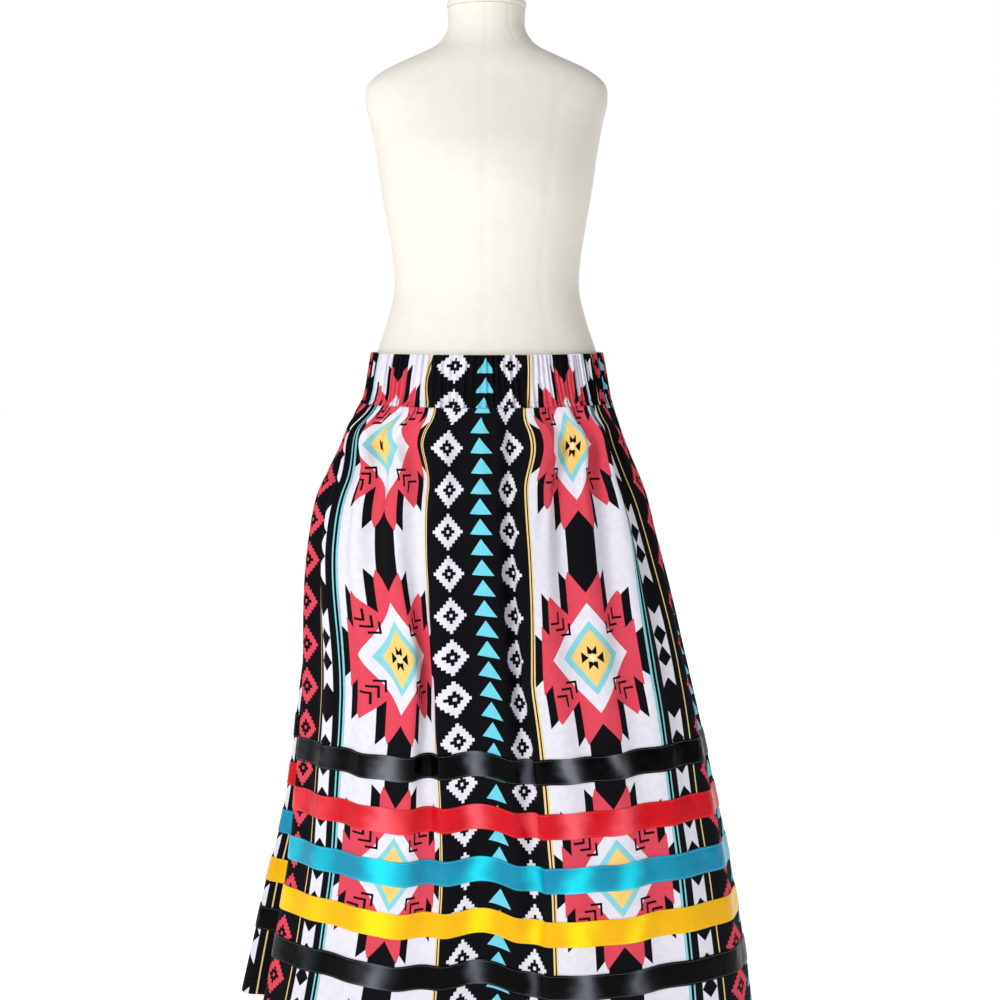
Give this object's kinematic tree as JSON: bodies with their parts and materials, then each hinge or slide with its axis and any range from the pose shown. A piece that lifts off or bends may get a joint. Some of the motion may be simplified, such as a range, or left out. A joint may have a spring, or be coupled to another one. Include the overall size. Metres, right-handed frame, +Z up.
{
  "type": "ribbon skirt on a dress form",
  "caption": "Full-length gathered ribbon skirt with an elastic waist casing and satin ribbon bands, hanging on a limbless padded dress form with a pole stand.",
  "frame": {"origin": "centre of the stand base's underside, on the floor under the pole", "axes": "+Z up along the pole; the skirt's front faces -Y; +X to the right of a viewer who faces the front"},
  "size_m": [0.832, 0.5275, 1.6243],
  "materials": {
    "printed_cotton": "matt printed cotton",
    "satin_black": "black satin ribbon",
    "satin_red": "red satin ribbon",
    "satin_turquoise": "turquoise satin ribbon",
    "satin_yellow": "yellow satin ribbon",
    "form_cotton": "cream cotton cover",
    "turned_wood": "stained, satin",
    "black_steel": "black powder coat"
  },
  "bodies": {
    "root": {"skirt_front_panel": "printed_cotton", "skirt_back_panel": "printed_cotton", "waist_casing": "printed_cotton", "ribbon_1_black_front": "satin_black", "ribbon_1_black_back": "satin_black", "ribbon_2_red_front": "satin_red", "ribbon_2_red_back": "satin_red", "ribbon_3_turquoise_front": "satin_turquoise", "ribbon_3_turquoise_back": "satin_turquoise", "ribbon_4_yellow_front": "satin_yellow", "ribbon_4_yellow_back": "satin_yellow", "ribbon_5_black_front": "satin_black", "ribbon_5_black_back": "satin_black", "form_torso": "form_cotton", "form_neck_cap": "turned_wood", "form_underside_board": "turned_wood", "stand_pole": "black_steel", "stand_collar": "black_steel", "stand_base": "black_steel"}
  },
  "joints": []
}
